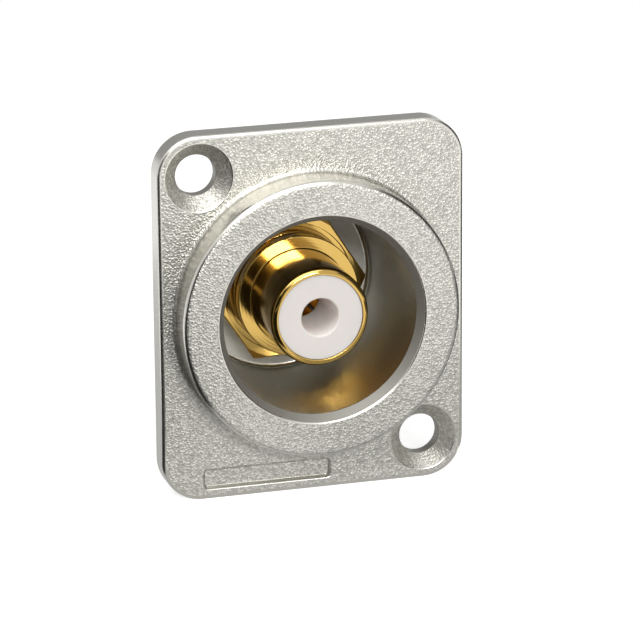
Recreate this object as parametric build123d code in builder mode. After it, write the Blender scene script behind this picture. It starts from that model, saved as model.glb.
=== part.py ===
from build123d import *
from math import cos, radians, tan
import os

# Phono socket in a die-cast D-size flange, for screwing to a panel.
# Millimetres. The origin is on the socket's axis at the back face of the flange, +Z is up,
# and the front of the socket faces -Y.

# Flange: a D-size plate with two screw holes on one diagonal
flange_width = 26.0
flange_height = 31.0
flange_thickness = 2.2
flange_corner_radius = 3.4
flange_edge_chamfer = 0.25
screw_from_edge = 3.5
screw_hole_radius = 1.7
countersink_radius = 2.85
countersink_angle = 90.0
label_width = 11.0
label_height = 1.75
label_depth = 0.35
label_corner_radius = 0.2
label_from_left = 3.45
label_from_bottom = 0.825

# Collar in front of the flange, tube behind it, and the well inside both
collar_from_side = 1.25
collar_height = 3.1
collar_edge_chamfer = 0.3
tube_wall = 1.55
well_depth = 14.0
mouth_chamfer_width = 0.6
mouth_chamfer_depth = 0.85
floor_thickness = 1.5

# Turned body: barrel, shoulder, hexagon and tail
barrel_radius = 4.15
barrel_length = 6.45
barrel_nose_chamfer = 0.4
barrel_wall = 0.55
shoulder_height = 1.05
shoulder_length = 2.95
hex_ledge = 0.7
hex_thickness = 2.6
hex_turn = 3.0
hex_chamfer_inset = 0.4
hex_chamfer_angle = 30.0
tail_radius = 4.0
tail_wall = 1.4
tail_counterbore_wall = 1.0
tail_counterbore_depth = 2.0
tail_lip_width = 0.25
tail_lip_length = 0.3
tail_past_nut = 1.3
tail_end_chamfer = 0.4

# Insulators
insulator_recess = 0.1
insulator_length = 11.0
insulator_wall = 1.25
pin_hole_chamfer = 0.2
pin_guide_length = 5.9
shoulder_flange_inset = 0.2
shoulder_flange_thickness = 1.2
rear_insulator_wall = 1.3
bush_wall = 0.65
insulating_washer_width = 3.9
insulating_washer_thickness = 1.0

# Centre contact
contact_wall = 0.62
contact_base = 0.8
contact_slot_width = 0.35
contact_slot_from_base = 1.0
contact_nose_chamfer = 0.25
shank_past_tail = 5.2
cup_wall = 0.4
cup_bore_depth = 4.0
cup_scoop_length = 2.9
cup_scoop_depth = 0.2

# Fixings behind the floor
tag_width = 1.9
tag_thickness = 0.5
tag_tail_width = 2.8
tag_drop = 1.4
tag_tail_length = 8.0
tag_bend_radius = 0.9
tag_eye_radius = 0.75
tag_eye_from_end = 1.9
lock_washer_width = 0.9
lock_washer_thickness = 0.6
lock_tooth_length = 0.6
lock_washer_teeth = 12
lock_tooth_share = 0.6
nut_wall = 1.5
nut_thickness = 2.2
nut_chamfer_inset = 0.22
nut_chamfer_angle = 30.0

# Clearances on the radius
press_gap = 0.02
bush_gap = 0.05
floor_hole_gap = 0.05
washer_gap = 0.1
thread_gap = 0.03
pin_gap = 0.02
tine_gap = 0.15
shank_gap = 0.03
spanner_gap = 1.4

# How far the turning cone of a hexagon passes its corners
cone_past_corner = 0.2

# Stations along the axis, from the front to the back
flange_front = -flange_thickness
collar_front = flange_front - collar_height
floor_front = collar_front + well_depth
floor_back = floor_front + floor_thickness
hex_back = floor_front - shoulder_flange_thickness
hex_front = hex_back - hex_thickness
shoulder_front = hex_front - shoulder_length
barrel_tip = shoulder_front - barrel_length
insulator_face = barrel_tip + insulator_recess
insulator_back = insulator_face + insulator_length
contact_front = insulator_face + pin_guide_length
tag_front = floor_back + insulating_washer_thickness
lock_washer_front = tag_front + tag_thickness
nut_front = lock_washer_front + lock_washer_thickness
nut_back = nut_front + nut_thickness
tail_end = nut_back + tail_past_nut
lip_front = tail_end - tail_lip_length
counterbore_front = lip_front - tail_counterbore_depth
shank_end = tail_end + shank_past_tail

# Radii that follow from the walls and the fits
insulator_bore_radius = barrel_radius - barrel_wall
tine_room_radius = insulator_bore_radius - insulator_wall
contact_radius = tine_room_radius - tine_gap
contact_bore_radius = contact_radius - contact_wall
pin_hole_radius = contact_bore_radius + pin_gap
shoulder_radius = barrel_radius + shoulder_height
hex_across_flats = 2 * (shoulder_radius + hex_ledge)
well_radius = hex_across_flats / 2 / cos(radians(30)) + spanner_gap
tube_radius = well_radius + tube_wall
collar_radius = flange_width / 2 - collar_from_side
tail_bore_radius = tail_radius - tail_wall
tail_counterbore_radius = tail_radius - tail_counterbore_wall
shank_radius = tail_bore_radius - press_gap - rear_insulator_wall - shank_gap
cup_bore_radius = shank_radius - cup_wall
shoulder_flange_radius = hex_across_flats / 2 - shoulder_flange_inset
bush_inner_radius = tail_radius + bush_gap
bush_outer_radius = bush_inner_radius + bush_wall
floor_hole_radius = bush_outer_radius + floor_hole_gap
washer_hole_radius = tail_radius + washer_gap
insulating_washer_radius = washer_hole_radius + insulating_washer_width
tag_radius = washer_hole_radius + tag_width
tag_reach = tag_radius + tag_drop
lock_washer_ring_radius = washer_hole_radius + lock_washer_width
lock_washer_radius = lock_washer_ring_radius + lock_tooth_length
nut_across_flats = 2 * (tail_radius + nut_wall)


def across(y):
    """The plane square to the axis at y, facing the front."""
    return Plane.XZ.offset(-y)


def hexagon_cone(across_flats, inset, angle, near, far):
    """Half section of the cone that takes a hexagon's corners off at its near end."""
    face_radius = across_flats / 2 - inset
    corner_radius = across_flats / 2 / cos(radians(30))
    outer = corner_radius + cone_past_corner
    drop = (outer - face_radius) * tan(radians(angle))
    direction = 1 if far > near else -1
    return [(0, near), (face_radius, near), (outer, near + direction * drop), (outer, far), (0, far)]


with BuildPart() as shell:
    # Plate
    with BuildSketch(across(0)):
        RectangleRounded(flange_width, flange_height, flange_corner_radius)
    extrude(amount=flange_thickness)
    chamfer(shell.faces().sort_by(Axis.Y)[0].outer_wire().edges(), length=flange_edge_chamfer)

    # Collar and tube
    inside_plate = flange_front / 2
    with BuildSketch(Plane.XY) as collar_section:
        with BuildLine():
            Polyline(
                (0, collar_front),
                (collar_radius, collar_front),
                (collar_radius, inside_plate),
                (tube_radius, inside_plate),
                (tube_radius, floor_back),
                (0, floor_back),
                close=True,
            )
        make_face()
        chamfer(collar_section.vertices().group_by(Axis.Y)[0].sort_by(Axis.X)[-1], collar_edge_chamfer)
    revolve(axis=Axis.Y)

    # Well, with its chamfered mouth and the hole in its floor
    with BuildSketch(Plane.XY):
        with BuildLine():
            Polyline(
                (0, collar_front),
                (well_radius + mouth_chamfer_width, collar_front),
                (well_radius, collar_front + mouth_chamfer_depth),
                (well_radius, floor_front),
                (floor_hole_radius, floor_front),
                (floor_hole_radius, floor_back),
                (0, floor_back),
                close=True,
            )
        make_face()
    revolve(axis=Axis.Y, mode=Mode.SUBTRACT)

    # Screw holes and label field
    screw_x = flange_width / 2 - screw_from_edge
    screw_z = flange_height / 2 - screw_from_edge
    with Locations(across(flange_front)):
        with Locations((-screw_x, screw_z), (screw_x, -screw_z)):
            CounterSinkHole(
                radius=screw_hole_radius,
                counter_sink_radius=countersink_radius,
                depth=flange_thickness,
                counter_sink_angle=countersink_angle,
            )
    label_x = -flange_width / 2 + label_from_left + label_width / 2
    label_z = -flange_height / 2 + label_from_bottom + label_height / 2
    with BuildSketch(across(flange_front)):
        with Locations((label_x, label_z)):
            RectangleRounded(label_width, label_height, label_corner_radius)
    extrude(amount=-label_depth, mode=Mode.SUBTRACT)

with BuildPart() as socket_body:
    # Hexagon, with its front corners turned off
    with BuildSketch(across(hex_back)):
        RegularPolygon(hex_across_flats / 2, 6, major_radius=False, rotation=hex_turn)
    extrude(amount=hex_thickness)
    with BuildSketch(Plane.XY):
        with BuildLine():
            Polyline(
                *hexagon_cone(hex_across_flats, hex_chamfer_inset, hex_chamfer_angle, hex_front, hex_back),
                close=True,
            )
        make_face()
    revolve(axis=Axis.Y, mode=Mode.INTERSECT)

    # Barrel and shoulder in front of it, tail behind it
    inside_hex = (hex_front + hex_back) / 2
    with BuildSketch(Plane.XY):
        with BuildLine():
            Polyline(
                (0, barrel_tip),
                (barrel_radius - barrel_nose_chamfer, barrel_tip),
                (barrel_radius, barrel_tip + barrel_nose_chamfer),
                (barrel_radius, shoulder_front),
                (shoulder_radius, shoulder_front),
                (shoulder_radius, inside_hex),
                (tail_radius, inside_hex),
                (tail_radius, tail_end - tail_end_chamfer),
                (tail_radius - tail_end_chamfer, tail_end),
                (0, tail_end),
                close=True,
            )
        make_face()
    revolve(axis=Axis.Y)

    # Bore: front insulator, neck, rear insulator, and the lip rolled in over it
    with BuildSketch(Plane.XY):
        with BuildLine():
            Polyline(
                (0, barrel_tip),
                (insulator_bore_radius, barrel_tip),
                (insulator_bore_radius, insulator_back),
                (tail_bore_radius, insulator_back),
                (tail_bore_radius, counterbore_front),
                (tail_counterbore_radius, counterbore_front),
                (tail_counterbore_radius, lip_front),
                (tail_counterbore_radius - tail_lip_width, lip_front),
                (tail_counterbore_radius - tail_lip_width, tail_end),
                (0, tail_end),
                close=True,
            )
        make_face()
    revolve(axis=Axis.Y, mode=Mode.SUBTRACT)

with BuildPart() as front_insulator:
    # Ring in the barrel: pin guide in front, room for the tines behind
    with BuildSketch(Plane.XY):
        with BuildLine():
            Polyline(
                (pin_hole_radius, insulator_face + pin_hole_chamfer),
                (pin_hole_radius + pin_hole_chamfer, insulator_face),
                (insulator_bore_radius - press_gap, insulator_face),
                (insulator_bore_radius - press_gap, insulator_back),
                (tine_room_radius, insulator_back),
                (tine_room_radius, contact_front),
                (pin_hole_radius, contact_front),
                close=True,
            )
        make_face()
    revolve(axis=Axis.Y)

with BuildPart() as centre_contact:
    # Sleeve and shank
    with BuildSketch(Plane.XY) as contact_section:
        with BuildLine():
            Polyline(
                (0, contact_front),
                (contact_radius, contact_front),
                (contact_radius, insulator_back),
                (shank_radius, insulator_back),
                (shank_radius, shank_end),
                (0, shank_end),
                close=True,
            )
        make_face()
        chamfer(contact_section.vertices().group_by(Axis.X)[-1].sort_by(Axis.Y)[0], contact_nose_chamfer)
    revolve(axis=Axis.Y)
    contact_bore_depth = insulator_back - contact_base - contact_front
    with BuildSketch(across(contact_front)):
        Circle(contact_bore_radius)
    extrude(amount=-contact_bore_depth, mode=Mode.SUBTRACT)

    # Four tines between two crossing saw cuts
    with BuildSketch(across(contact_front)):
        with PolarLocations(0, 2, start_angle=45, angular_range=180):
            Rectangle(2 * contact_radius + contact_slot_width, contact_slot_width)
    extrude(amount=contact_slot_from_base - contact_bore_depth, mode=Mode.SUBTRACT)

    # Solder cup, open along its top
    with BuildSketch(across(shank_end)):
        Circle(cup_bore_radius)
    extrude(amount=cup_bore_depth, mode=Mode.SUBTRACT)
    with BuildSketch(across(shank_end)):
        with Locations((0, cup_bore_radius - cup_scoop_depth)):
            Rectangle(2 * shank_radius, shank_radius, align=(Align.CENTER, Align.MIN))
    extrude(amount=cup_scoop_length, mode=Mode.SUBTRACT)

with BuildPart() as rear_insulator:
    # Bush in the tail, with a head in the counterbore
    with BuildSketch(Plane.XY):
        with BuildLine():
            Polyline(
                (shank_radius + shank_gap, insulator_back),
                (tail_bore_radius - press_gap, insulator_back),
                (tail_bore_radius - press_gap, counterbore_front),
                (tail_counterbore_radius - press_gap, counterbore_front),
                (tail_counterbore_radius - press_gap, lip_front),
                (shank_radius + shank_gap, lip_front),
                close=True,
            )
        make_face()
    revolve(axis=Axis.Y)

with BuildPart() as shoulder_washer:
    # Flange under the hexagon and sleeve through the floor
    with BuildSketch(Plane.XY):
        with BuildLine():
            Polyline(
                (bush_inner_radius, hex_back),
                (shoulder_flange_radius, hex_back),
                (shoulder_flange_radius, floor_front),
                (bush_outer_radius, floor_front),
                (bush_outer_radius, floor_back),
                (bush_inner_radius, floor_back),
                close=True,
            )
        make_face()
    revolve(axis=Axis.Y)

with BuildPart() as insulating_washer:
    with BuildSketch(across(floor_back)):
        Circle(insulating_washer_radius)
        Circle(washer_hole_radius, mode=Mode.SUBTRACT)
    extrude(amount=-insulating_washer_thickness)

with BuildPart() as ground_tag:
    # Ring, and a tail that runs down past the nut and bends back
    tag_middle = tag_front + tag_thickness / 2
    with BuildLine(Plane.YZ) as tail_line:
        FilletPolyline(
            (tag_middle, -tag_radius + tag_thickness),
            (tag_middle, -tag_reach),
            (tag_middle + tag_tail_length, -tag_reach),
            radius=tag_bend_radius,
        )
    with BuildSketch(Plane(tail_line.line @ 0, x_dir=(1, 0, 0), z_dir=tail_line.line % 0)):
        Rectangle(tag_tail_width, tag_thickness)
    sweep(path=tail_line.line)
    fillet(
        ground_tag.edges().filter_by(Axis.Z).group_by(Axis.Y)[-1],
        radius=0.98 * tag_tail_width / 2,
    )
    with BuildSketch(across(tag_front)):
        Circle(tag_radius)
    extrude(amount=-tag_thickness)
    with BuildSketch(across(tag_front)):
        Circle(washer_hole_radius)
    extrude(amount=-tag_thickness, mode=Mode.SUBTRACT)
    with BuildSketch(Plane.XY.offset(-tag_reach)):
        with Locations((0, tag_middle + tag_tail_length - tag_eye_from_end)):
            Circle(tag_eye_radius)
    extrude(amount=tag_thickness, both=True, mode=Mode.SUBTRACT)

with BuildPart() as lock_washer:
    # Ring with teeth round its outside
    tooth_width = lock_tooth_share * 2 * lock_washer_radius * tan(radians(180 / lock_washer_teeth))
    with BuildSketch(across(lock_washer_front)):
        Circle(lock_washer_ring_radius)
        with PolarLocations(lock_washer_ring_radius + lock_tooth_length / 2, lock_washer_teeth):
            Rectangle(2 * lock_tooth_length, tooth_width)
        Circle(lock_washer_radius, mode=Mode.INTERSECT)
        Circle(washer_hole_radius, mode=Mode.SUBTRACT)
    extrude(amount=-lock_washer_thickness)

with BuildPart() as hex_nut:
    with BuildSketch(across(nut_front)):
        RegularPolygon(nut_across_flats / 2, 6, major_radius=False)
        Circle(tail_radius + thread_gap, mode=Mode.SUBTRACT)
    extrude(amount=-nut_thickness)
    with BuildSketch(Plane.XY):
        with BuildLine():
            Polyline(
                *hexagon_cone(nut_across_flats, nut_chamfer_inset, nut_chamfer_angle, nut_back, nut_front),
                close=True,
            )
        make_face()
    revolve(axis=Axis.Y, mode=Mode.INTERSECT)

pieces = {
    "shell": shell,
    "socket_body": socket_body,
    "front_insulator": front_insulator,
    "centre_contact": centre_contact,
    "rear_insulator": rear_insulator,
    "shoulder_washer": shoulder_washer,
    "insulating_washer": insulating_washer,
    "ground_tag": ground_tag,
    "lock_washer": lock_washer,
    "hex_nut": hex_nut,
}
os.makedirs("parts", exist_ok=True)
for name, piece in pieces.items():
    piece.part.label = name
    export_step(piece.part, f"parts/{name}.step")
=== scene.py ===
"""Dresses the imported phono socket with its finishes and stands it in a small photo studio."""

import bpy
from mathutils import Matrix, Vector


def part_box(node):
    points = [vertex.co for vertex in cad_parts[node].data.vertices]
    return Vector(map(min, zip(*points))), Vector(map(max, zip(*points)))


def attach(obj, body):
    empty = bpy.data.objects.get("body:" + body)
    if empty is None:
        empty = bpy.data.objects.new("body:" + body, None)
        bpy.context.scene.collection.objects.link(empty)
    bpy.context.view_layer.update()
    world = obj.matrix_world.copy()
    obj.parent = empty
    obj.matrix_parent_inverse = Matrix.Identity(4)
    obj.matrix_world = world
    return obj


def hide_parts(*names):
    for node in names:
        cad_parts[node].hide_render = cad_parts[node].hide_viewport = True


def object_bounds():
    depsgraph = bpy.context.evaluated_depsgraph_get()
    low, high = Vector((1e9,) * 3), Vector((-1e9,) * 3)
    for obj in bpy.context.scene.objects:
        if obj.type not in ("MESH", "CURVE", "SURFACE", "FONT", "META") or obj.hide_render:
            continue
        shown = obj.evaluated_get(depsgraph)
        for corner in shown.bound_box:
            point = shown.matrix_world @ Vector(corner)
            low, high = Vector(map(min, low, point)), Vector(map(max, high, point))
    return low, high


bl_info = {
    "name": "Phono panel socket",
    "version": (1, 0, 0),
    "blender": (4, 5, 0),
    "location": "3D View > Sidebar > Socket",
    "description": "Builds the looks of a phono socket in a die-cast flange",
    "category": "Object",
}

from math import acos, atan2, ceil, cos, pi, radians, sin, sqrt, tan

import bmesh
import bpy
from bpy.props import FloatProperty, FloatVectorProperty, PointerProperty
from mathutils import Quaternion, Vector

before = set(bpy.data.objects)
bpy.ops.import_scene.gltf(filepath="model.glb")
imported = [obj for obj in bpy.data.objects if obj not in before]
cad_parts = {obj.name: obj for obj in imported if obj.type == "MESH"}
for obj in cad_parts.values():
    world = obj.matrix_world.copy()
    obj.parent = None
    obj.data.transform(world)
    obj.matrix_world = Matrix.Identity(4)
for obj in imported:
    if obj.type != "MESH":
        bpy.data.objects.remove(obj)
cad_low, cad_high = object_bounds()

shell_low, shell_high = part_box("shell")
body_low, body_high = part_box("socket_body")
insulator_low, insulator_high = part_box("front_insulator")
washer_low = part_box("shoulder_washer")[0]
nut_low, nut_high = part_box("hex_nut")

# An open section starts and ends this far off, and these two points are dropped once it is rounded
FAR = 1.0


def linear_colour(text):
    """Turns an sRGB hex colour into the linear values that shaders work with."""
    channels = [int(text[i:i + 2], 16) / 255 for i in (1, 3, 5)]
    return [c / 12.92 if c <= 0.04045 else ((c + 0.055) / 1.055) ** 2.4 for c in channels]


# Sizes and colours


class CastingSizes(bpy.types.PropertyGroup):
    thickness: FloatProperty(
        name="Flange thickness", description="Thickness of the flange plate",
        default=0.0022, min=0.001, unit="LENGTH", precision=5)
    corner: FloatProperty(
        name="Flange corner", description="Radius of the flange's corners",
        default=0.0034, min=0.0005, unit="LENGTH", precision=5)
    front_round: FloatProperty(
        name="Front round", description="Round along the flange's front edge",
        default=0.00025, min=0.00005, unit="LENGTH", precision=5)
    back_round: FloatProperty(
        name="Back round", description="Round along the flange's back edge",
        default=0.00015, min=0.00005, unit="LENGTH", precision=5)
    screw_from_edge: FloatProperty(
        name="Screw from edge", description="From a screw's centre to the nearest two edges",
        default=0.0035, min=0.001, unit="LENGTH", precision=5)
    screw_hole: FloatProperty(
        name="Screw hole", description="Radius of a screw hole",
        default=0.0017, min=0.0005, unit="LENGTH", precision=5)
    countersink: FloatProperty(
        name="Countersink", description="Radius of a countersink at the front",
        default=0.00285, min=0.0005, unit="LENGTH", precision=5)
    collar: FloatProperty(
        name="Collar", description="Radius of the collar",
        default=0.01175, min=0.005, unit="LENGTH", precision=5)
    collar_round: FloatProperty(
        name="Collar round", description="Round at the collar's front edge",
        default=0.00045, min=0.00005, unit="LENGTH", precision=5)
    mouth: FloatProperty(
        name="Mouth", description="Radius of the well's mouth in the collar's face",
        default=0.00881, min=0.005, unit="LENGTH", precision=5)
    mouth_depth: FloatProperty(
        name="Mouth depth", description="Depth of the chamfer at the mouth",
        default=0.00085, min=0.0001, unit="LENGTH", precision=5)
    well: FloatProperty(
        name="Well", description="Radius of the well halfway down",
        default=0.0082, min=0.005, unit="LENGTH", precision=5)
    well_draft: FloatProperty(
        name="Well draft", description="Draft of the well's wall",
        default=radians(0.25), min=0.0, unit="ROTATION")
    floor: FloatProperty(
        name="Floor thickness", description="Thickness of the well's floor",
        default=0.0015, min=0.0005, unit="LENGTH", precision=5)
    tube: FloatProperty(
        name="Tube", description="Radius of the tube behind the flange",
        default=0.009763, min=0.005, unit="LENGTH", precision=5)
    label_width: FloatProperty(
        name="Label width", description="Width of the sunken label field",
        default=0.011, min=0.001, unit="LENGTH", precision=5)
    label_height: FloatProperty(
        name="Label height", description="Height of the sunken label field",
        default=0.00175, min=0.0005, unit="LENGTH", precision=5)
    label_depth: FloatProperty(
        name="Label depth", description="Depth of the sunken label field",
        default=0.00035, min=0.0001, unit="LENGTH", precision=5)
    label_centre: FloatVectorProperty(
        name="Label centre", description="Centre of the label field, across and up",
        size=2, default=(-0.00405, -0.0138), unit="LENGTH", precision=5)


class BodySizes(bpy.types.PropertyGroup):
    barrel: FloatProperty(
        name="Barrel", description="Radius of the barrel that a plug slides over",
        default=0.00415, min=0.001, unit="LENGTH", precision=5)
    barrel_wall: FloatProperty(
        name="Barrel wall", description="Wall of the barrel",
        default=0.00055, min=0.0001, unit="LENGTH", precision=5)
    nose_round: FloatProperty(
        name="Nose round", description="Round at the barrel's nose",
        default=0.00046, min=0.00005, unit="LENGTH", precision=5)
    shoulder: FloatProperty(
        name="Shoulder", description="Radius of the shoulder behind the barrel",
        default=0.0052, min=0.001, unit="LENGTH", precision=5)
    shoulder_front: FloatProperty(
        name="Shoulder front", description="Front face of the shoulder, along the axis",
        default=0.00195, unit="LENGTH", precision=5)
    groove_front: FloatProperty(
        name="Groove front", description="Front side of the groove in the shoulder, along the axis",
        default=0.0029, unit="LENGTH", precision=5)
    groove_width: FloatProperty(
        name="Groove width", description="Width of the groove turned in the shoulder",
        default=0.0004, min=0.0001, unit="LENGTH", precision=5)
    groove_depth: FloatProperty(
        name="Groove depth", description="Depth of the groove turned in the shoulder",
        default=0.00025, min=0.00005, unit="LENGTH", precision=5)
    hexagon: FloatProperty(
        name="Hexagon", description="Across the flats of the body's hexagon",
        default=0.0118, min=0.005, unit="LENGTH", precision=5)
    hexagon_face: FloatProperty(
        name="Hexagon face", description="Radius of the flat face that the chamfer leaves",
        default=0.0062, min=0.002, unit="LENGTH", precision=5)
    hexagon_chamfer: FloatProperty(
        name="Hexagon chamfer", description="Slope of the chamfer at the hexagon's corners",
        default=radians(20), min=0.05, unit="ROTATION")
    hexagon_front: FloatProperty(
        name="Hexagon front", description="Front of the hexagon, along the axis",
        default=0.0049, unit="LENGTH", precision=5)
    hexagon_turn: FloatProperty(
        name="Hexagon turn", description="How far the hexagon is turned about the axis",
        default=radians(3), unit="ROTATION")
    tail: FloatProperty(
        name="Tail", description="Outside radius of the threaded tail",
        default=0.004, min=0.001, unit="LENGTH", precision=5)
    thread_pitch: FloatProperty(
        name="Thread pitch", description="Pitch of the tail's thread",
        default=0.00075, min=0.0002, unit="LENGTH", precision=5)
    thread_depth: FloatProperty(
        name="Thread depth", description="Depth of the tail's thread",
        default=0.0004, min=0.0001, unit="LENGTH", precision=5)
    tail_end_chamfer: FloatProperty(
        name="Tail chamfer", description="Chamfer at the end of the tail",
        default=0.0004, min=0.0001, unit="LENGTH", precision=5)
    pin_hole: FloatProperty(
        name="Pin hole", description="Radius of the hole for the plug's pin",
        default=0.0016, min=0.0005, unit="LENGTH", precision=5)
    pin_hole_round: FloatProperty(
        name="Pin hole round", description="Round at the mouth of the pin hole",
        default=0.00015, min=0.00005, unit="LENGTH", precision=5)
    pin_guide: FloatProperty(
        name="Pin guide", description="Length of the pin hole in the insulator",
        default=0.0059, min=0.001, unit="LENGTH", precision=5)
    tine_room: FloatProperty(
        name="Tine room", description="Radius of the room for the contact's tines",
        default=0.00235, min=0.001, unit="LENGTH", precision=5)


class FinishColours(bpy.types.PropertyGroup):
    nickel: FloatVectorProperty(
        name="Nickel", description="Nickel plate on the flange casting",
        subtype="COLOR", size=3, default=linear_colour("#C9C7BF"), min=0.0, max=1.0)
    gold: FloatVectorProperty(
        name="Gold", description="Gold plate on the turned pieces",
        subtype="COLOR", size=3, default=linear_colour("#BE9D57"), min=0.0, max=1.0)
    insulator: FloatVectorProperty(
        name="Insulator", description="White plastic of the two insulators",
        subtype="COLOR", size=3, default=linear_colour("#CCC6C2"), min=0.0, max=1.0)
    nylon: FloatVectorProperty(
        name="Nylon", description="Natural nylon of the insulating washers",
        subtype="COLOR", size=3, default=linear_colour("#E4E0D2"), min=0.0, max=1.0)
    steel: FloatVectorProperty(
        name="Steel", description="Nickel-plated steel of the lock washer",
        subtype="COLOR", size=3, default=linear_colour("#B9BABB"), min=0.0, max=1.0)
    grain: FloatProperty(
        name="Grain", description="Size of a grain in the blasted nickel",
        default=0.00018, min=0.00005, unit="LENGTH", precision=5)


class StudioSizes(bpy.types.PropertyGroup):
    azimuth: FloatProperty(
        name="Azimuth", description="Turn of the camera about the object, to the right",
        default=radians(-16.41), unit="ROTATION")
    elevation: FloatProperty(
        name="Elevation", description="Height of the camera above the horizon",
        default=radians(16.86), unit="ROTATION")
    roll: FloatProperty(
        name="Roll", description="Tilt of the camera about its own view",
        default=radians(0.477), unit="ROTATION")
    distance: FloatProperty(
        name="Distance", description="From the camera to the flange's front",
        default=0.33106, min=0.1, unit="LENGTH")
    lens: FloatProperty(
        name="Lens", description="Focal length on a 36 mm sensor, in millimetres",
        default=226.2, min=20.0)
    aim: FloatVectorProperty(
        name="Aim", description="Point on the flange's front to look at, right and down",
        size=2, default=(0.00058, 0.0008165), unit="LENGTH", precision=6)


# Meshes


def rounded(corners, closed=False):
    """Points of a section from its corners (radius, y, round). A corner with a round becomes an arc."""
    arc_step = radians(11)
    count = len(corners)
    places = [Vector(corner[:2]) for corner in corners]

    def sides(i):
        """Directions to both neighbours, and half of the angle between them."""
        before = (places[i - 1] - places[i]).normalized()
        after = (places[(i + 1) % count] - places[i]).normalized()
        return before, after, acos(max(-1.0, min(1.0, before.dot(after)))) / 2

    def cut(i):
        """How much of each side the round takes."""
        if corners[i][2] == 0 or not closed and i in (0, count - 1):
            return 0.0
        return corners[i][2] / tan(sides(i)[2])

    points = []
    for i, (r, y, radius) in enumerate(corners):
        if cut(i) == 0:
            points.append((r, y))
            continue
        before, after, half = sides(i)
        here = places[i]
        centre = here + (before + after).normalized() * (radius / sin(half))
        start = here + before * cut(i) - centre
        turn = pi - 2 * half
        side = -1 if before.cross(after) > 0 else 1
        steps = max(2, ceil(turn / arc_step))
        arc = []
        for step in range(steps + 1):
            angle = side * turn * step / steps
            arc.append((
                centre.x + start.x * cos(angle) - start.y * sin(angle),
                centre.y + start.x * sin(angle) + start.y * cos(angle),
            ))
        # A point just off each end of the arc keeps the shading of the straight sides flat
        for direction, other, end in ((before, i - 1, 0), (after, (i + 1) % count, 1)):
            free = (places[other] - here).length - cut(i) - cut(other % count)
            margin = min(0.3 * radius, free / 3)
            extra = here + direction * (cut(i) + margin)
            arc.insert(len(arc) if end else 0, (extra.x, extra.y))
        points += arc
    return points


def ring(bm, outline):
    """One closed loop of vertices."""
    return [bm.verts.new(point) for point in outline]


def circle(radius, y, steps, centre=(0.0, 0.0)):
    """Points of a circle about a line along Y."""
    return [
        (centre[0] + radius * cos(2 * pi * i / steps), y, centre[1] + radius * sin(2 * pi * i / steps))
        for i in range(steps)
    ]


def rounded_rectangle(width, height, radius, y, steps, centre=(0.0, 0.0)):
    """Points of a rectangle with round corners, square to Y. Steps is the count in each corner."""
    points = []
    for corner in range(4):
        start = corner * pi / 2
        middle_x = (width / 2 - radius) * (1 if corner in (0, 3) else -1)
        middle_z = (height / 2 - radius) * (1 if corner in (0, 1) else -1)
        for step in range(steps + 1):
            angle = start + pi / 2 * step / steps
            points.append((
                centre[0] + middle_x + radius * cos(angle), y,
                centre[1] + middle_z + radius * sin(angle),
            ))
    return points


def bridge(bm, first, second, slot=0):
    """A band of faces between two loops with the same count of vertices."""
    count = len(first)
    for i in range(count):
        j = (i + 1) % count
        face = bm.faces.new((first[i], first[j], second[j], second[i]))
        face.material_index = slot


def bridge_all(bm, rings, slots=0):
    """Bands between each loop and the next. Slots is one number, or one for each band."""
    for i in range(len(rings) - 1):
        bridge(bm, rings[i], rings[i + 1], slots if isinstance(slots, int) else slots[i])


def fill(bm, loops, slot=0):
    """One flat face, in triangles, inside the first loop and outside the others."""
    edges = []
    for loop in loops:
        for i, vertex in enumerate(loop):
            edge = bm.edges.get((vertex, loop[(i + 1) % len(loop)]))
            edges.append(edge or bm.edges.new((vertex, loop[(i + 1) % len(loop)])))
    made = bmesh.ops.triangle_fill(bm, edges=edges, use_beauty=True)
    for item in made["geom"]:
        if isinstance(item, bmesh.types.BMFace):
            item.material_index = slot


def finish_piece(bm, name, materials, nodes):
    """Turns the mesh into an object that stands for CAD nodes and rides on the part."""
    bmesh.ops.recalc_face_normals(bm, faces=bm.faces)
    mesh = bpy.data.meshes.new(name)
    bm.to_mesh(mesh)
    bm.free()
    for material in materials:
        mesh.materials.append(material)
    mesh.shade_smooth()
    sharp_from = radians(28)
    mesh.set_sharp_from_angle(angle=sharp_from)
    piece = bpy.data.objects.new(name, mesh)
    bpy.context.scene.collection.objects.link(piece)
    weighted = piece.modifiers.new("Flat faces stay flat", "WEIGHTED_NORMAL")
    weighted.keep_sharp = True
    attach(piece, "root")
    if nodes:
        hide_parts(*nodes)
    return piece


def stage_sheet(name, outline, material):
    """One flat face of the stage."""
    mesh = bpy.data.meshes.new(name)
    mesh.from_pydata(outline, [], [tuple(range(len(outline)))])
    mesh.materials.append(material)
    sheet = bpy.data.objects.new(name, mesh)
    bpy.context.scene.collection.objects.link(sheet)
    return sheet


def from_object(azimuth, elevation):
    """Direction from the object. The azimuth turns from the front to the right."""
    return Vector((
        sin(azimuth) * cos(elevation), -cos(azimuth) * cos(elevation), sin(elevation),
    ))


def hexagon_radius(across_flats, corner_round, angle):
    """Distance from the axis to a hexagon's side, at an angle from one of its corners."""
    offset = (angle + pi / 6) % (pi / 3) - pi / 6
    inner = across_flats / 2
    centre = (inner - corner_round) / cos(pi / 6)
    tangent = atan2(corner_round * sin(pi / 6), centre + corner_round * cos(pi / 6))
    if abs(offset) < tangent:
        return centre * cos(offset) + sqrt(corner_round ** 2 - (centre * sin(offset)) ** 2)
    return inner / cos(pi / 6 - abs(offset))


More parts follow.
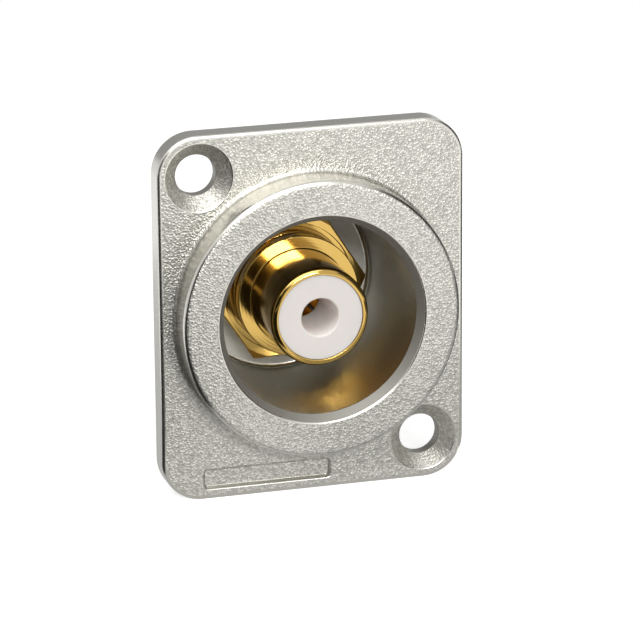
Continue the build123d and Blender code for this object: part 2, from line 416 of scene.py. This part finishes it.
def turn_section(bm, section, steps, slots=0, closed=True):
    """Turns a section about the axis. The section is a list of points, or gives one for each angle."""
    at = section if callable(section) else lambda angle: section
    columns = []
    for i in range(steps):
        angle = 2 * pi * i / steps
        columns.append([(r * cos(angle), y, r * sin(angle)) for r, y in at(angle)])
    rings = [ring(bm, [column[k] for column in columns]) for k in range(len(columns[0]))]
    bridge_all(bm, rings, slots)
    if closed:
        bridge(bm, rings[-1], rings[0], slots if isinstance(slots, int) else slots[-1])
    return rings


# Materials


def add_node(tree, kind, sockets=None, **settings):
    """Adds a node with its settings. Each socket is given a value or another node's output."""
    node = tree.nodes.new(kind)
    for name, value in settings.items():
        setattr(node, name, value)
    for name, value in (sockets or {}).items():
        if isinstance(value, bpy.types.NodeSocket):
            tree.links.new(value, node.inputs[name])
        else:
            node.inputs[name].default_value = value
    return node


def new_material(name):
    """An empty node material with its Principled shader and output."""
    material = bpy.data.materials.get(name)
    if material:
        return material, None, None
    material = bpy.data.materials.new(name)
    material.use_nodes = True
    tree = material.node_tree
    tree.nodes.clear()
    shader = add_node(tree, "ShaderNodeBsdfPrincipled")
    add_node(tree, "ShaderNodeOutputMaterial", {"Surface": shader.outputs["BSDF"]})
    return material, tree, shader


def seen_directly(tree):
    """1 where a surface is seen by the camera, in a reflection or through a pane, and 0 elsewhere."""
    path = add_node(tree, "ShaderNodeLightPath").outputs
    seen = path["Is Camera Ray"]
    for ray in ("Is Glossy Ray", "Is Transmission Ray"):
        seen = add_node(
            tree, "ShaderNodeMath", {0: seen, 1: path[ray]}, operation="MAXIMUM",
        ).outputs["Value"]
    return seen


def blasted_nickel(colours, where="faces", painted_shading=1.0):
    """Zinc die casting, blasted and then nickel plated."""
    # The eye sees a fine sparkling grain. Each grain is a small dent that tips the light its own way,
    # and some grains are darker than others.
    dent_depth = 0.000035
    darkest = 0.68
    material, tree, shader = new_material(f"Nickel plate on blasted zinc, {where}")
    if tree is None:
        return material
    place = add_node(tree, "ShaderNodeTexCoord").outputs["Object"]
    grains = add_node(
        tree, "ShaderNodeTexVoronoi", {"Vector": place, "Scale": 1 / colours.grain}, feature="F1",
    ).outputs
    dents = add_node(
        tree, "ShaderNodeBump",
        {"Height": grains["Distance"], "Strength": 1.0, "Distance": dent_depth},
    )
    depth = add_node(
        tree, "ShaderNodeMapRange",
        {"Value": grains["Color"], "From Min": 0.25, "From Max": 0.75, "To Min": darkest, "To Max": 1.0},
    )
    # painted_shading below 1, as in the countersinks, darkens the plate: painted shade.
    plate = (*(painted_shading * c for c in colours.nickel), 1.0)
    tint = add_node(
        tree, "ShaderNodeMix",
        {"Factor": depth.outputs["Result"], "A": (*linear_colour("#000000"), 1.0), "B": plate},
        data_type="RGBA",
    )
    tree.links.new(tint.outputs["Result"], shader.inputs["Base Color"])
    tree.links.new(dents.outputs["Normal"], shader.inputs["Normal"])
    shader.inputs["Metallic"].default_value = 1.0
    shader.inputs["Roughness"].default_value = 0.45
    return material


def bright_nickel(colours, where="edges", painted_shading=1.0, roughness=0.25, metallic=1.0):
    """Nickel plate on zinc with a smooth die-cast skin."""
    # The eye sees a soft mirror with a slight ripple. Painted shading, roughness and metallic of each
    # place are given one by one.
    # Nine ripples to 10 mm
    ripples_per_metre = 9 / 0.010
    ripple_depth = 0.00001
    material, tree, shader = new_material(f"Nickel plate on polished zinc, {where}")
    if tree is None:
        return material
    place = add_node(tree, "ShaderNodeTexCoord").outputs["Object"]
    ripple = add_node(
        tree, "ShaderNodeTexNoise", {"Vector": place, "Scale": ripples_per_metre, "Detail": 2.0},
    )
    bump = add_node(
        tree, "ShaderNodeBump",
        {"Height": ripple.outputs["Fac"], "Strength": 1.0, "Distance": ripple_depth},
    )
    tree.links.new(bump.outputs["Normal"], shader.inputs["Normal"])
    # painted_shading scales the nickel's colour: below 1 it is painted shade, above 1 painted light.
    shader.inputs["Base Color"].default_value = (*(painted_shading * c for c in colours.nickel), 1.0)
    shader.inputs["Metallic"].default_value = metallic
    shader.inputs["Roughness"].default_value = roughness
    return material


def turned_gold(colours):
    """Gold plate on turned brass."""
    # The eye sees a warm mirror, with fine rings left by the tool.
    ring_spacing = 0.00012
    ring_depth = 0.000004
    material, tree, shader = new_material("Gold plate on turned brass")
    if tree is None:
        return material
    place = add_node(tree, "ShaderNodeTexCoord").outputs["Object"]
    parts = add_node(tree, "ShaderNodeSeparateXYZ", {"Vector": place}).outputs
    flat = add_node(tree, "ShaderNodeCombineXYZ", {"X": parts["X"], "Z": parts["Z"]})
    radius = add_node(
        tree, "ShaderNodeVectorMath", {0: flat.outputs["Vector"]}, operation="LENGTH",
    )
    along = add_node(
        tree, "ShaderNodeCombineXYZ", {"X": radius.outputs["Value"], "Y": parts["Y"]},
    )
    rings = add_node(
        tree, "ShaderNodeTexNoise",
        {"Vector": along.outputs["Vector"], "Scale": 1 / ring_spacing, "Detail": 2.0, "Roughness": 0.5},
    )
    bump = add_node(
        tree, "ShaderNodeBump",
        {"Height": rings.outputs["Fac"], "Strength": 1.0, "Distance": ring_depth},
    )
    tree.links.new(bump.outputs["Normal"], shader.inputs["Normal"])
    shader.inputs["Base Color"].default_value = (*colours.gold, 1.0)
    shader.inputs["Metallic"].default_value = 1.0
    shader.inputs["Roughness"].default_value = 0.1
    return material


def white_acetal(colours, where="face", painted_shading=1.0):
    """White acetal, turned."""
    # The eye sees soft white that glows a little at its edges. The painted light of each place is given.
    mark_spacing = 0.00025
    mark_depth = 0.000004
    material, tree, shader = new_material(f"White acetal, {where}")
    if tree is None:
        return material
    place = add_node(tree, "ShaderNodeTexCoord").outputs["Object"]
    marks = add_node(
        tree, "ShaderNodeTexNoise", {"Vector": place, "Scale": 1 / mark_spacing, "Detail": 2.0},
    )
    bump = add_node(
        tree, "ShaderNodeBump",
        {"Height": marks.outputs["Fac"], "Strength": 1.0, "Distance": mark_depth},
    )
    tree.links.new(bump.outputs["Normal"], shader.inputs["Normal"])
    # painted_shading above 1, as in the pin hole, lightens the colour: painted light.
    shader.inputs["Base Color"].default_value = (*(painted_shading * c for c in colours.insulator), 1.0)
    shader.inputs["Roughness"].default_value = 0.45
    shader.inputs["IOR"].default_value = 1.48
    shader.inputs["Subsurface Weight"].default_value = 0.2
    shader.inputs["Subsurface Radius"].default_value = (1.0, 0.6, 0.5)
    shader.inputs["Subsurface Scale"].default_value = 0.002
    return material


def natural_nylon(colours):
    """Natural nylon, moulded."""
    # The eye sees milky plastic with a dull, slightly uneven shine.
    # Six clouds to 10 mm
    clouds_per_metre = 6 / 0.010
    cloud_depth = 0.00001
    material, tree, shader = new_material("Natural nylon")
    if tree is None:
        return material
    place = add_node(tree, "ShaderNodeTexCoord").outputs["Object"]
    cloud = add_node(
        tree, "ShaderNodeTexNoise", {"Vector": place, "Scale": clouds_per_metre, "Detail": 3.0},
    ).outputs["Fac"]
    roughness = add_node(
        tree, "ShaderNodeMapRange",
        {"Value": cloud, "From Min": 0.3, "From Max": 0.7, "To Min": 0.38, "To Max": 0.5},
    )
    bump = add_node(
        tree, "ShaderNodeBump", {"Height": cloud, "Strength": 1.0, "Distance": cloud_depth},
    )
    tree.links.new(roughness.outputs["Result"], shader.inputs["Roughness"])
    tree.links.new(bump.outputs["Normal"], shader.inputs["Normal"])
    shader.inputs["Base Color"].default_value = (*colours.nylon, 1.0)
    shader.inputs["IOR"].default_value = 1.53
    shader.inputs["Subsurface Weight"].default_value = 0.4
    shader.inputs["Subsurface Radius"].default_value = (1.0, 0.8, 0.6)
    shader.inputs["Subsurface Scale"].default_value = 0.001
    return material


def plated_steel(colours):
    """Spring steel, stamped and nickel plated."""
    # The eye sees a grey satin sheen with rolling marks, twelve times as fine across as along.
    # Nine marks to 10 mm, along
    marks_per_metre = 9 / 0.010
    fineness = 12.0
    mark_depth = 0.000004
    material, tree, shader = new_material("Nickel plate on stamped steel")
    if tree is None:
        return material
    place = add_node(tree, "ShaderNodeTexCoord").outputs["Object"]
    stretched = add_node(tree, "ShaderNodeMapping", {"Vector": place, "Scale": (1.0, 1.0, fineness)})
    marks = add_node(
        tree, "ShaderNodeTexNoise",
        {"Vector": stretched.outputs["Vector"], "Scale": marks_per_metre, "Detail": 3.0},
    ).outputs["Fac"]
    roughness = add_node(
        tree, "ShaderNodeMapRange",
        {"Value": marks, "From Min": 0.3, "From Max": 0.7, "To Min": 0.24, "To Max": 0.4},
    )
    bump = add_node(
        tree, "ShaderNodeBump", {"Height": marks, "Strength": 1.0, "Distance": mark_depth},
    )
    tree.links.new(roughness.outputs["Result"], shader.inputs["Roughness"])
    tree.links.new(bump.outputs["Normal"], shader.inputs["Normal"])
    shader.inputs["Base Color"].default_value = (*colours.steel, 1.0)
    shader.inputs["Metallic"].default_value = 1.0
    return material


def white_paper():
    """Matt white paper on the studio floor."""
    # The eye sees plain white with the object's soft shadow. The glow takes the white up to the
    # full level where the floor is seen, and puts no more light on the object.
    glow_strength = 0.68
    material = bpy.data.materials.new("White paper")
    material.use_nodes = True
    tree = material.node_tree
    tree.nodes.clear()
    paper = add_node(tree, "ShaderNodeBsdfDiffuse", {"Color": (*linear_colour("#E7E7E7"), 1.0)})
    glow = add_node(tree, "ShaderNodeEmission", {"Strength": glow_strength})
    lit = add_node(
        tree, "ShaderNodeAddShader", {0: paper.outputs["BSDF"], 1: glow.outputs["Emission"]},
    )
    surface = add_node(
        tree, "ShaderNodeMixShader",
        {"Fac": seen_directly(tree), 1: paper.outputs["BSDF"], 2: lit.outputs["Shader"]},
    )
    add_node(tree, "ShaderNodeOutputMaterial", {"Surface": surface.outputs["Shader"]})
    return material


def grey_cardboard(name, grey):
    """Cardboard of one grey. It glows at that grey, so that lamps and shadows don't change it."""
    # The eye sees it only in the metal, as a dark or grey patch.
    material = bpy.data.materials.new(f"Cardboard, {name}")
    material.use_nodes = True
    tree = material.node_tree
    tree.nodes.clear()
    board = add_node(tree, "ShaderNodeEmission", {"Strength": grey})
    add_node(tree, "ShaderNodeOutputMaterial", {"Surface": board.outputs["Emission"]})
    return material


# Operators


class SOCKET_OT_stage(bpy.types.Operator):
    """Set up the camera, the floor, the surroundings, the lamps and the cards"""

    bl_idname = "socket.stage"
    bl_label = "Studio"

    def execute(self, context):
        context.scene.view_settings.view_transform = "Standard"
        self.camera(context.scene)
        self.floor()
        self.surroundings(context.scene)
        self.lamp(
            "Overhead_softbox", azimuth=-25, elevation=60, distance=0.20,
            width=0.20, height=0.14, brightness=3.3)
        self.lamp(
            "Strip_light", azimuth=0, elevation=21.5, distance=0.42,
            width=0.18, height=0.034, brightness=48.0)

        # Cards give the bright metal its dark and grey parts. Their places were found by trial.
        low = cad_low.z + 0.001
        on_floor = cad_low.z + 0.00001
        self.card("Lying_card", grey=0.02, bottom=low, corners=[
            (-0.016, 0.004), (-0.0135, -0.010), (-0.003, -0.022), (0.0, -0.045),
            (-0.002, -0.16), (-0.20, -0.16), (-0.20, 0.004),
        ])
        self.card("Side_card", grey=0.02, bottom=low, top=0.10, corners=[
            (-0.20, -0.16), (-0.20, -0.05),
        ])
        self.card("Front_card", grey=0.02, bottom=low, top=0.16, corners=[
            (-0.12, -0.40), (-0.20, -0.16),
        ])
        self.card("Rear_card", grey=0.4, bottom=0.02, top=0.16, corners=[
            (-0.20, 0.20), (0.14, 0.20),
        ])
        self.card("Right_card", grey=0.05, bottom=0.0, top=0.20, corners=[
            (0.20, -0.20), (0.20, 0.10),
        ])
        self.card("Right_floor_card", grey=0.08, bottom=low, corners=[
            (0.015, -0.003), (0.051, -0.003), (0.051, -0.07),
            (0.20, -0.07), (0.20, 0.15), (0.015, 0.15),
        ])
        self.card("Under_card", grey=0.65, bottom=on_floor, corners=[
            (-0.035, -0.014), (0.015, -0.014), (0.015, 0.07), (-0.035, 0.07),
        ])
        self.card("Near_card", grey=0.55, bottom=low, corners=[
            (0.0, -0.004), (0.05, -0.004), (0.05, -0.032), (0.0, -0.032),
        ])
        return {"FINISHED"}

    def camera(self, scene):
        """A camera at the photograph's viewing angle, aimed at a point of the flange's front."""
        studio = scene.socket_studio
        back = from_object(studio.azimuth, studio.elevation)
        turn = (-back).to_track_quat("-Z", "Y") @ Quaternion((0, 0, 1), -studio.roll)
        right, up = turn @ Vector((1, 0, 0)), turn @ Vector((0, 1, 0))
        front = Vector((0, -scene.socket_casting.thickness, 0))
        data = bpy.data.cameras.new("Camera")
        data.sensor_width = 36.0
        data.lens = studio.lens
        data.clip_start = 0.01
        camera = bpy.data.objects.new("Camera", data)
        scene.collection.objects.link(camera)
        camera.rotation_mode = "QUATERNION"
        camera.rotation_quaternion = turn
        camera.location = front + right * studio.aim[0] - up * studio.aim[1] + back * studio.distance
        scene.camera = camera

    def floor(self):
        """A sheet of white paper that the object stands on."""
        reach, level = 0.16, cad_low.z
        corners = [(-reach, -reach), (reach, -reach), (reach, reach), (-reach, reach)]
        stage_sheet("Floor", [(x, y, level) for x, y in corners], white_paper())

    def surroundings(self, scene):
        """A world that is white where it is seen, and lights the object at a plain low level."""
        plain_level = 0.25
        world = scene.world or bpy.data.worlds.new("World")
        scene.world = world
        world.use_nodes = True
        tree = world.node_tree
        tree.nodes.clear()
        strength = add_node(
            tree, "ShaderNodeMapRange",
            {"Value": seen_directly(tree), "To Min": plain_level, "To Max": 1.0},
        )
        glow = add_node(
            tree, "ShaderNodeBackground",
            {"Color": (*linear_colour("#FFFFFF"), 1.0), "Strength": strength.outputs["Result"]},
        )
        add_node(tree, "ShaderNodeOutputWorld", {"Surface": glow.outputs["Background"]})

    def lamp(self, name, azimuth, elevation, distance, width, height, brightness):
        """An area lamp that faces the object. At a brightness of 1 its reflection is plain white."""
        data = bpy.data.lights.new(name, "AREA")
        data.shape = "RECTANGLE"
        data.size, data.size_y = width, height
        data.energy = brightness * pi * width * height
        lamp = bpy.data.objects.new(name, data)
        bpy.context.scene.collection.objects.link(lamp)
        lamp.location = distance * from_object(radians(azimuth), radians(elevation))
        lamp.rotation_mode = "QUATERNION"
        lamp.rotation_quaternion = lamp.location.to_track_quat("Z", "Y")
        lamp.visible_camera = False

    def card(self, name, grey, corners, bottom, top=None):
        """A card that only reflections show. With a top it stands up between two corners, else it lies."""
        if top is None:
            outline = [(x, y, bottom) for x, y in corners]
        else:
            outline = [(*corner, bottom) for corner in corners]
            outline += [(*corner, top) for corner in reversed(corners)]
        card = stage_sheet(name, outline, grey_cardboard(name, grey))
        card.visible_camera = False
        card.visible_diffuse = False
        card.visible_shadow = False


class SOCKET_OT_flange_casting(bpy.types.Operator):
    """Build the flange casting: plate, collar, well and tube"""

    bl_idname = "socket.flange_casting"
    bl_label = "Flange casting"

    def execute(self, context):
        size = context.scene.socket_casting
        colours = context.scene.socket_colours
        width = shell_high.x - shell_low.x
        height = shell_high.z - shell_low.z
        front, back = -size.thickness, 0.0
        face, tube_end = shell_low.y, shell_high.y
        bm = bmesh.new()
        grainy, smooth, bore, mouth, well, floor, cone = range(7)

        # Edge of the flange, from its front face round to its back face
        corner_steps = 18
        edge = rounded([
            (FAR, front, 0.0), (0.0, front, size.front_round),
            (0.0, back, size.back_round), (FAR, back, 0.0),
        ])[1:-1]
        rims = [
            ring(bm, rounded_rectangle(
                width - 2 * inset, height - 2 * inset, size.corner - inset, y, corner_steps))
            for inset, y in edge
        ]
        bridge_all(bm, rims, smooth)

        # Collar, well and tube in one turned section
        collar_root, tube_root, foot_round = 0.00035, 0.0004, 0.0004
        mouth_round, chamfer_round, hole_round, tube_round = 0.00016, 0.00009, 0.00005, 0.0003
        floor_hole = 0.00475
        floor_front = tube_end - size.floor
        middle = (face + floor_front) / 2
        mouth_in = size.well + (middle - face - size.mouth_depth) * tan(size.well_draft)
        well_foot = size.well - (floor_front - middle) * tan(size.well_draft)
        section = rounded([
            (size.collar + 2 * collar_root, front, 0.0),
            (size.collar, front, collar_root),
            (size.collar, face, size.collar_round),
            (size.mouth, face, mouth_round),
            (mouth_in, face + size.mouth_depth, chamfer_round),
            (well_foot, floor_front, foot_round),
            (floor_hole, floor_front, hole_round),
            (floor_hole, tube_end, hole_round),
            (size.tube, tube_end, tube_round),
            (size.tube, back, tube_root),
            (size.tube + 2 * tube_root, back, 0.0),
        ])

        # Where the finish changes along the section
        mouth_end = face + size.mouth_depth
        rim_start, rim_end = face + 0.000001, face + 0.00012
        collar_start, collar_end = face + 0.15 * size.collar_round, front - collar_root
        foot_start, foot_end = floor_front - 0.00042, floor_front - 0.00001

        def turned_finish(r, y):
            """Slot of the turned band whose middle is at radius r and y."""
            if r < size.mouth and mouth_end < y < floor_front + foot_round:
                return well if y < foot_start else smooth if y < foot_end else floor
            if r < size.mouth and rim_end < y < mouth_end:
                return mouth
            if r < size.mouth + 0.001:
                return smooth if rim_start < y < rim_end else grainy
            return smooth if collar_start < y < collar_end else grainy

        slots = [
            turned_finish((r1 + r2) / 2, (y1 + y2) / 2)
            for (r1, y1), (r2, y2) in zip(section, section[1:])
        ]
        turned = turn_section(bm, section, steps=256, slots=slots, closed=False)

        # Screw holes, each with a narrow land that is dropped at both ends of its profile
        rim_round, cone_round, exit_round = 0.0001, 0.0001, 0.00012
        front_land, back_land = 0.0003, 0.0004
        cone_end = front + size.countersink - size.screw_hole
        profile = rounded([
            (size.countersink + front_land, front, 0.0),
            (size.countersink, front, rim_round),
            (size.screw_hole, cone_end, cone_round),
            (size.screw_hole, back, exit_round),
            (size.screw_hole + back_land, back, 0.0),
        ])[1:-1]
        finishes = [
            bore if r < size.screw_hole + cone_round / 2
            else smooth if y < front + 0.8 * rim_round
            else cone
            for r, y in profile[1:]
        ]
        screws = []
        for side in (-1, 1):
            centre = (
                side * (width / 2 - size.screw_from_edge),
                -side * (height / 2 - size.screw_from_edge),
            )
            rings = [ring(bm, circle(r, y, steps=96, centre=centre)) for r, y in profile]
            bridge_all(bm, rings, finishes)
            screws.append(rings)

        # Label field. Its lower wall is smooth, and shows as one bright line.
        wall_run, label_corner = 0.0002, 0.0004
        brow_round, label_foot_round = 0.00016, 0.00006
        label_floor = front + size.label_depth
        slope = rounded([
            (-FAR, front, 0.0), (0.0, front, brow_round),
            (wall_run, label_floor, label_foot_round), (FAR, label_floor, 0.0),
        ])[1:-1]
        label = [
            ring(bm, rounded_rectangle(
                size.label_width - 2 * inset, size.label_height - 2 * inset,
                label_corner - inset, y, steps=6, centre=size.label_centre))
            for inset, y in slope
        ]
        others = set(bm.faces)
        bridge_all(bm, label, grainy)
        lower_edge = size.label_centre[1] - size.label_height / 2
        for wall in set(bm.faces) - others:
            if wall.calc_center_median().z < lower_edge + 1.5 * wall_run:
                wall.material_index = smooth
        fill(bm, [label[-1]], grainy)

        # Faces of the plate
        fill(bm, [rims[0], turned[0], screws[0][0], screws[1][0], label[0]], grainy)
        fill(bm, [rims[-1], turned[-1], screws[0][-1], screws[1][-1]], grainy)
        # Painted shade in the holes, mouth, well and countersinks; painted light on the well's floor
        finish_piece(
            bm, "Flange_casting", [
                blasted_nickel(colours),
                bright_nickel(colours),
                bright_nickel(colours, "holes", painted_shading=0.5, roughness=0.5),
                bright_nickel(colours, "mouth", painted_shading=0.56, roughness=0.6),
                bright_nickel(colours, "well", painted_shading=0.76, roughness=0.32),
                bright_nickel(colours, "floor", painted_shading=1.45, roughness=0.5, metallic=0.2),
                blasted_nickel(colours, "countersinks", painted_shading=0.95),
            ], ["shell"])
        return {"FINISHED"}


class SOCKET_OT_socket_body(bpy.types.Operator):
    """Build the turned body: barrel, shoulder, hexagon and threaded tail"""

    bl_idname = "socket.socket_body"
    bl_label = "Socket body"

    def execute(self, context):
        size = context.scene.socket_body
        colours = context.scene.socket_colours
        gold = turned_gold(colours)
        tip, end = body_low.y, body_high.y
        bore = size.barrel - size.barrel_wall
        hex_back = washer_low.y
        insulator_seat = insulator_high.y
        groove_back = size.groove_front + size.groove_width
        groove_floor = size.shoulder - size.groove_depth
        core = size.tail - size.thread_depth
        thread_start = nut_low.y - 0.002

        # A ring is sunk in the hexagon's face, around the shoulder
        relief, relief_floor = 0.0056, size.hexagon_front + 0.0004
        # Seat of the rear insulator: a lip at the tail's end, the seat, and the bore in front of it
        lip, lip_length = 0.00275, 0.0003
        seat, seat_length = 0.003, 0.0023
        passage = 0.0026
        # Rounds
        fine, narrow, wide = 0.00003, 0.00004, 0.0001
        hexagon_corner = 0.00012

        def section(angle):
            """The body's section at an angle. Only the hexagon differs from angle to angle."""
            outside = hexagon_radius(size.hexagon, hexagon_corner, angle - size.hexagon_turn)
            hexagon_face = min(size.hexagon_face, outside - hexagon_corner)
            drop = (outside - hexagon_face) * tan(size.hexagon_chamfer)
            return rounded([
                (bore, tip, 0.00005),
                (size.barrel, tip, size.nose_round),
                (size.barrel, size.shoulder_front, wide),
                (size.shoulder, size.shoulder_front, 0.00008),
                (size.shoulder, size.groove_front, narrow),
                (groove_floor, size.groove_front, narrow),
                (groove_floor, groove_back, narrow),
                (size.shoulder, groove_back, narrow),
                (size.shoulder, relief_floor, narrow),
                (relief, relief_floor, narrow),
                (relief, size.hexagon_front, fine),
                (hexagon_face, size.hexagon_front, 0.00001),
                (outside, size.hexagon_front + drop, fine),
                (outside, hex_back, wide),
                (size.tail, hex_back, wide),
                (size.tail, thread_start, 0.00005),
                (core, thread_start + size.thread_depth, 0.00005),
                (core, end, wide),
                (lip, end, 0.00006),
                (lip, end - lip_length, narrow),
                (seat, end - lip_length, narrow),
                (seat, end - seat_length, narrow),
                (passage, end - seat_length, narrow),
                (passage, insulator_seat, narrow),
                (bore, insulator_seat, narrow),
            ], closed=True)

        bm = bmesh.new()
        turn_section(bm, section, steps=360)
        finish_piece(bm, "Socket_body", [gold], ["socket_body"])

        # Thread: a ridge wound round the tail's core, fading at both ends. Its foot is in the core.
        bm = bmesh.new()
        steps = 72
        fade_in, fade_out = steps / 4, steps / 3
        end_gap = 0.0001
        foot, sunk = core - 0.00003, 0.00002
        turns = (end - end_gap - thread_start) / size.thread_pitch - 1
        count = int(turns * steps)
        half_foot, half_crest = 0.46 * size.thread_pitch, 0.07 * size.thread_pitch
        rows = []
        for i in range(count + 1):
            angle = 2 * pi * i / steps
            middle = thread_start + size.thread_pitch * (0.5 + i / steps)
            share = min(1.0, i / fade_in, (count - i) / fade_out)
            crest = core + size.thread_depth * share - sunk * (1 - share)
            limit = size.tail - max(0.0, middle + size.tail_end_chamfer - end)
            crest = min(crest, limit)
            rows.append([
                bm.verts.new((r * cos(angle), middle + shift, r * sin(angle)))
                for r, shift in (
                    (foot, -half_foot), (crest, -half_crest), (crest, half_crest), (foot, half_foot))
            ])
        for first, second in zip(rows, rows[1:]):
            bridge(bm, first, second)
        bm.faces.new(rows[0])
        bm.faces.new(rows[-1])
        finish_piece(bm, "Tail_thread", [gold], [])
        return {"FINISHED"}


class SOCKET_OT_front_insulator(bpy.types.Operator):
    """Build the white insulator in the barrel, with its pin hole"""

    bl_idname = "socket.front_insulator"
    bl_label = "Front insulator"

    def execute(self, context):
        size = context.scene.socket_body
        face, back = insulator_low.y, insulator_high.y
        outside = insulator_high.x
        guide_end = face + size.pin_guide
        face_material, hole_material = 0, 1
        section = rounded([
            (size.pin_hole, face, size.pin_hole_round),
            (outside, face, 0.00002),
            (outside, back, 0.00006),
            (size.tine_room, back, 0.00006),
            (size.tine_room, guide_end, 0.00004),
            (size.pin_hole, guide_end, 0.00004),
        ], closed=True)
        hole_reach = size.pin_hole + size.pin_hole_round / 3
        slots = [
            hole_material if max(r1, r2) < hole_reach else face_material
            for (r1, _), (r2, _) in zip(section, section[1:] + section[:1])
        ]
        bm = bmesh.new()
        turn_section(bm, section, steps=128, slots=slots)
        colours = context.scene.socket_colours
        # The pin hole's lighter copy of the acetal is painted light in the hole.
        finish_piece(
            bm, "Front_insulator",
            [white_acetal(colours), white_acetal(colours, "pin hole", painted_shading=1.5)],
            ["front_insulator"])
        return {"FINISHED"}


class SOCKET_OT_hex_nut(bpy.types.Operator):
    """Build the hexagon nut on the tail"""

    bl_idname = "socket.hex_nut"
    bl_label = "Hexagon nut"

    def execute(self, context):
        size = context.scene.socket_body
        front, back = nut_low.y, nut_high.y
        across_flats = nut_high.z - nut_low.z
        face = 0.96 * across_flats / 2
        chamfer = radians(30)
        thread_gap = 0.00003
        hole = size.tail + thread_gap
        hole_chamfer = 0.0003
        corner_round, hole_round, face_round = 0.0001, 0.00005, 0.00003

        def section(angle):
            """The nut's section at an angle, with its corners chamfered on both faces."""
            outside = hexagon_radius(across_flats, corner_round, angle)
            drop = (outside - face) * tan(chamfer)
            return rounded([
                (hole, front, hole_round),
                (face, front, face_round),
                (outside, front + drop, face_round),
                (outside, back - drop, face_round),
                (face, back, face_round),
                (hole + hole_chamfer, back, hole_round),
                (hole, back - hole_chamfer, hole_round),
            ], closed=True)

        bm = bmesh.new()
        turn_section(bm, section, steps=360)
        finish_piece(
            bm, "Hexagon_nut", [turned_gold(context.scene.socket_colours)], ["hex_nut"])
        return {"FINISHED"}


class SOCKET_OT_small_pieces(bpy.types.Operator):
    """Give the pieces kept from the CAD model their finishes"""

    bl_idname = "socket.small_pieces"
    bl_label = "Small pieces"

    def execute(self, context):
        colours = context.scene.socket_colours
        finishes = {
            "centre_contact": turned_gold(colours),
            "rear_insulator": white_acetal(colours),
            "shoulder_washer": natural_nylon(colours),
            "insulating_washer": natural_nylon(colours),
            "ground_tag": turned_gold(colours),
            "lock_washer": plated_steel(colours),
        }
        for name, material in finishes.items():
            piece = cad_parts[name]
            if not piece.material_slots:
                raise RuntimeError(f"{name} has no material slot")
            for slot in piece.material_slots:
                slot.material = material
        return {"FINISHED"}


class SOCKET_PT_panel(bpy.types.Panel):
    """Lists the socket's sizes, colours and pieces"""

    bl_idname = "SOCKET_PT_panel"
    bl_label = "Phono socket"
    bl_space_type = "VIEW_3D"
    bl_region_type = "UI"
    bl_category = "Socket"

    def draw(self, context):
        for group in GROUPS:
            box = self.layout.box()
            settings = getattr(context.scene, group)
            for name in settings.bl_rna.properties.keys():
                if name not in ("rna_type", "name"):
                    box.prop(settings, name)
        for operator in OPERATORS:
            self.layout.operator(operator.bl_idname)


GROUPS = {
    "socket_casting": CastingSizes,
    "socket_body": BodySizes,
    "socket_colours": FinishColours,
    "socket_studio": StudioSizes,
}
OPERATORS = (
    SOCKET_OT_stage,
    SOCKET_OT_flange_casting,
    SOCKET_OT_socket_body,
    SOCKET_OT_front_insulator,
    SOCKET_OT_hex_nut,
    SOCKET_OT_small_pieces,
)


def register():
    for kind in (*GROUPS.values(), *OPERATORS, SOCKET_PT_panel):
        bpy.utils.register_class(kind)
    for name, kind in GROUPS.items():
        setattr(bpy.types.Scene, name, PointerProperty(type=kind))


def unregister():
    for name in GROUPS:
        delattr(bpy.types.Scene, name)
    for kind in reversed((*GROUPS.values(), *OPERATORS, SOCKET_PT_panel)):
        bpy.utils.unregister_class(kind)


def main():
    register()
    for operator in OPERATORS:
        group, name = operator.bl_idname.split(".")
        getattr(getattr(bpy.ops, group), name)()


if __name__ == "__main__":
    main()
